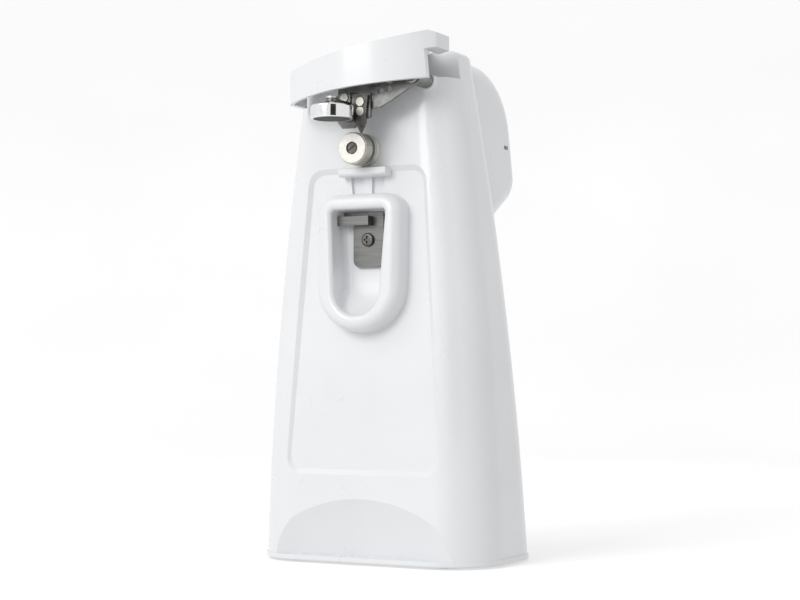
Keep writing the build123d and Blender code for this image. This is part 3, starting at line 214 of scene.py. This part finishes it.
# %% Motor materials and the grinding stone
bronze, tree, shader, place = new_finish("oil_filled_bronze", metallic=1.0)
tint(tree, shader, noise(tree, place, 700, 4), (0.42, 0.27, 0.12), (0.58, 0.40, 0.20))
gloss(tree, shader, noise(tree, place, 500), 0.35, 0.55)
relief(tree, shader, cells(tree, place, 3000), 0.00003, 0.5)

laminations, tree, shader, place = new_finish("stacked_laminations", metallic=0.8)
sheet_edges = noise(tree, stretched(tree, place, (60, 2200, 60)), 1, 2)
tint(tree, shader, sheet_edges, (0.08, 0.09, 0.10), (0.24, 0.25, 0.27))
gloss(tree, shader, noise(tree, place, 400), 0.38, 0.6)
relief(tree, shader, noise(tree, stretched(tree, place, (20, 2200, 20)), 1), 0.0001, 0.8)

copper, tree, shader, place = new_finish("enamelled_copper", metallic=0.9, Coat_Weight=0.4)
tint(tree, shader, noise(tree, place, 300, 3), (0.42, 0.15, 0.06), (0.62, 0.27, 0.12))
gloss(tree, shader, noise(tree, place, 600), 0.2, 0.4)
relief(tree, shader, noise(tree, stretched(tree, place, (3000, 3000, 60)), 1), 0.0001, 0.8)

cast_aluminium, tree, shader, place = new_finish("die_cast_aluminium", metallic=1.0)
tint(tree, shader, noise(tree, place, 200, 4), (0.58, 0.59, 0.60), (0.72, 0.73, 0.74))
gloss(tree, shader, noise(tree, place, 700), 0.4, 0.6)
relief(tree, shader, cells(tree, place, 2200), 0.00004, 0.5)

sintered_magnet, tree, shader, place = new_finish("sintered_magnet", metallic=0.3)
tint(tree, shader, noise(tree, place, 500, 5), (0.02, 0.02, 0.022), (0.06, 0.058, 0.056))
gloss(tree, shader, noise(tree, place, 500), 0.5, 0.75)
relief(tree, shader, cells(tree, place, 2600), 0.00005, 0.6)

grinding_stone, tree, shader, place = new_finish("grinding_stone")
tint(tree, shader, cells(tree, place, 3200), (0.20, 0.18, 0.16), (0.48, 0.45, 0.41), 0.1, 0.7)
gloss(tree, shader, noise(tree, place, 900), 0.8, 0.95)
relief(tree, shader, cells(tree, place, 3200), 0.0002, 0.8)

finish_of_slot = {
    "white_plastic": white_shell, "grey_plastic": grey_shell, "natural_nylon": nylon, "rubber": rubber,
    "steel": stamped_steel, "dark_steel": blade_steel, "chrome": chrome, "magnet": sintered_magnet,
    "zinc": zinc_plate, "bronze": bronze, "laminations": laminations, "copper": copper,
    "aluminium": cast_aluminium, "grinding_stone": grinding_stone,
}
finish_of_node = {"bottle_opener_plate": brushed_steel, "bottle_opener_screw": blade_steel}
print(len(finish_of_slot), "finishes by slot and", len(finish_of_node), "by node")

# %% [markdown]
# ## Smooth surfaces
#
# A mechanical model arrives as loose flat triangles, so a curved wall would look cut from facets. A finished
# piece starts from a copy: its doubled corners are merged, and then it is shaded smooth everywhere except over
# real edges. A weighted normal keeps large flat areas flat, and the copy stands for the node it came from.
#
# An angle tells a real edge from a facet, with two exceptions. The front's sunk panel has a gently sloped border,
# so that node gets a smaller angle. The scoop at the foot is part of a sphere that meets the front at an even
# flatter angle, so its rim is found another way: exactly one of the two faces beside it lies on the sphere.

# %% Copies with smooth shading
same_corner = 2e-6             # corners closer than this are one corner
real_edge = 32                 # degrees
real_edge_of_node = {"front_housing": 27}
scoop_centre, scoop_radius = Vector((0, -0.22215, -0.036)), 0.2
scoop_reach = 2e-5             # a corner this near to the sphere is on it


def smooth_copy(node):
    """A merged and smoothly shaded copy of a node, riding on the node's body in its place."""
    mesh = nodes[node].data.copy()
    for layer in [a for a in mesh.attributes if a.name == "custom_normal"]:
        mesh.attributes.remove(layer)
    bm = bmesh.new()
    bm.from_mesh(mesh)
    bmesh.ops.remove_doubles(bm, verts=bm.verts, dist=same_corner)
    on_scoop = [abs((v.co - scoop_centre).length - scoop_radius) < scoop_reach for v in bm.verts]
    bm.verts.index_update()
    scoop_rim = set()
    for edge in bm.edges:
        if on_scoop[edge.verts[0].index] and on_scoop[edge.verts[1].index]:
            inside = [all(on_scoop[v.index] for v in face.verts) for face in edge.link_faces]
            if sum(inside) == 1:
                scoop_rim.add(tuple(sorted(v.index for v in edge.verts)))
    bm.to_mesh(mesh)
    bm.free()
    mesh.shade_smooth()
    mesh.set_sharp_from_angle(angle=radians(real_edge_of_node.get(node, real_edge)))
    for edge in mesh.edges:
        if tuple(sorted(edge.vertices)) in scoop_rim:
            edge.use_edge_sharp = True
    mesh.materials.clear()
    mesh.materials.append(finish_of_node.get(node, finish_of_slot[slot_of_node[node]]))
    piece = bpy.data.objects.new(f"{node}_finished", mesh)
    bpy.context.scene.collection.objects.link(piece)
    normals = piece.modifiers.new("Weighted normals", "WEIGHTED_NORMAL")
    normals.keep_sharp = True
    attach(piece, body_of_node[node])
    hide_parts(node)
    return piece


finished = [smooth_copy(node) for node in sorted(nodes)]
print("finished", len(finished), "pieces,", sum(len(p.data.polygons) for p in finished), "faces")

# %% [markdown]
# ## The floor
#
# A studio cove is one sheet that lies flat and then turns up all round, so there is no line where floor meets
# wall. A profile spun round the upright axis gives it with one operator. It glows faintly and sends no diffuse
# light to the opener, so it stays white without lighting the opener from below.

# %% Studio cove
cove_radius, cove_turn, cove_height = 2.4, 0.9, 2.2
cove_bend, cove_bend_steps, cove_turn_steps = 0.45, 12, 96
cove_merge = 0.0001
bm = bmesh.new()
profile = [bm.verts.new((x, 0, z)) for x, z in (
    (0, 0), (cove_radius - cove_turn, 0), (cove_radius, cove_turn), (cove_radius, cove_height))]
for pair in zip(profile, profile[1:]):
    bm.edges.new(pair)
bmesh.ops.bevel(bm, geom=profile[1:3], offset=cove_bend, affect="VERTICES", segments=cove_bend_steps,
                profile=0.5, material=-1)
bmesh.ops.spin(bm, geom=bm.verts[:] + bm.edges[:], cent=(0, 0, 0), axis=(0, 0, 1), angle=2 * pi,
               steps=cove_turn_steps, use_merge=True)
bmesh.ops.remove_doubles(bm, verts=bm.verts, dist=cove_merge)
bmesh.ops.recalc_face_normals(bm, faces=bm.faces)
cove_mesh = bpy.data.meshes.new("studio_cove")
bm.to_mesh(cove_mesh)
bm.free()
cove_mesh.shade_smooth()
cove_paint, tree, shader, place = new_finish(
    "pale_cove_paint", Emission_Color=(1, 1, 1, 1), Emission_Strength=0.2)
tint(tree, shader, noise(tree, place, 3, 2), (0.90, 0.90, 0.90), (0.93, 0.93, 0.93))
gloss(tree, shader, noise(tree, place, 40), 0.75, 0.9)
cove_mesh.materials.append(cove_paint)
cove = bpy.data.objects.new("studio_cove", cove_mesh)
bpy.context.scene.collection.objects.link(cove)
cove.visible_diffuse = False
cove.visible_shadow = False
cove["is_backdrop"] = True
print("cove", len(cove_mesh.polygons), "faces")

# %% [markdown]
# ## Light
#
# White things are hard to light: they show only where they are a little darker than what is behind them. Two
# broad soft lamps stand in front on the left, so the front is bright and the right side falls into a soft grey.
# A weak lamp above brings out the top edges. The sky is even and pale.

# %% Lamps and sky
def soft_lamp(name, place, aim, size, power):
    """A square lamp that faces a point."""
    data = bpy.data.lights.new(name, "AREA")
    data.shape = "SQUARE"
    data.size = size
    data.energy = power
    lamp = bpy.data.objects.new(name, data)
    lamp.location = place
    lamp.rotation_euler = (Vector(aim) - Vector(place)).to_track_quat("-Z", "Y").to_euler()
    bpy.context.scene.collection.objects.link(lamp)
    return lamp


lamps = [
    soft_lamp("key_lamp", (-1.0, -1.2, 1.35), (0, 0, 0.12), 0.9, 5),
    soft_lamp("front_lamp", (-0.35, -1.65, 0.9), (0, 0, 0.12), 0.8, 12.5),
    soft_lamp("top_lamp", (0.3, 0.4, 1.9), (0, 0, 0.1), 1.2, 2),
]
sky = bpy.data.worlds.new("studio_sky")
sky.use_nodes = True
background = sky.node_tree.nodes["Background"]
background.inputs["Color"].default_value = (1, 1, 1, 1)
background.inputs["Strength"].default_value = 0.72
bpy.context.scene.world = sky
bpy.context.scene.view_settings.view_transform = "Standard"
print(len(lamps), "lamps,", sum(lamp.data.energy for lamp in lamps), "W in all")

# %% [markdown]
# ## Flag
#
# Chrome needs something dark to reflect, or it looks like white plastic. One black flag stands behind the camera.
# Reflections see it, and the camera, the diffuse light and the shadows don't.

# %% Flag
flag_cloth, tree, shader, place = new_finish("black_flag_cloth")
tint(tree, shader, noise(tree, place, 40, 4), (0.008, 0.008, 0.008), (0.016, 0.016, 0.016))
gloss(tree, shader, noise(tree, place, 90, 3), 0.85, 0.95)
flag_middle = Vector((0.905, -1.25, 0.42))
flag_half_width, flag_half_height = 0.4, 0.3
across = Vector((flag_middle.y, -flag_middle.x, 0)).normalized() * flag_half_width
upward = Vector((0, 0, flag_half_height))
corners = [flag_middle + a * across + b * upward for a, b in ((-1, -1), (1, -1), (1, 1), (-1, 1))]
flag_mesh = bpy.data.meshes.new("black_flag")
flag_mesh.from_pydata(corners, [], [(0, 1, 2, 3)])
flag_mesh.materials.append(flag_cloth)
flag = bpy.data.objects.new("black_flag", flag_mesh)
bpy.context.scene.collection.objects.link(flag)
flag.visible_camera = flag.visible_diffuse = flag.visible_shadow = False
flag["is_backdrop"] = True
print("flag", [round(value, 3) for value in flag.dimensions])

# %% [markdown]
# ## Camera
#
# The camera stands low in front and to the right, a little below the opener's middle, with a long lens so that
# the tower's sides hardly converge. Its right and its up are given, and what is behind it follows from them.

# %% Camera
camera_place = Vector((0.39910, -0.74483, 0.08984))
right, up = Vector((0.88303, 0.46932, 0.0)), Vector((0.01907, -0.03587, 0.99917))
camera_data = bpy.data.cameras.new("camera")
camera_data.lens = 78.9
camera_data.sensor_width = 36
camera = bpy.data.objects.new("camera", camera_data)
turn = Matrix((right, up, right.cross(up))).transposed().to_4x4()
camera.matrix_world = Matrix.Translation(camera_place) @ turn
bpy.context.scene.collection.objects.link(camera)
bpy.context.scene.camera = camera
print("camera", round(camera_place.length, 3), "m from the opener's foot")

visual_low, visual_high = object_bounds()
box_mm = [round(1000 * (high - low), 1) for low, high in zip(visual_low, visual_high)]
print("visual box", box_mm, "mm")
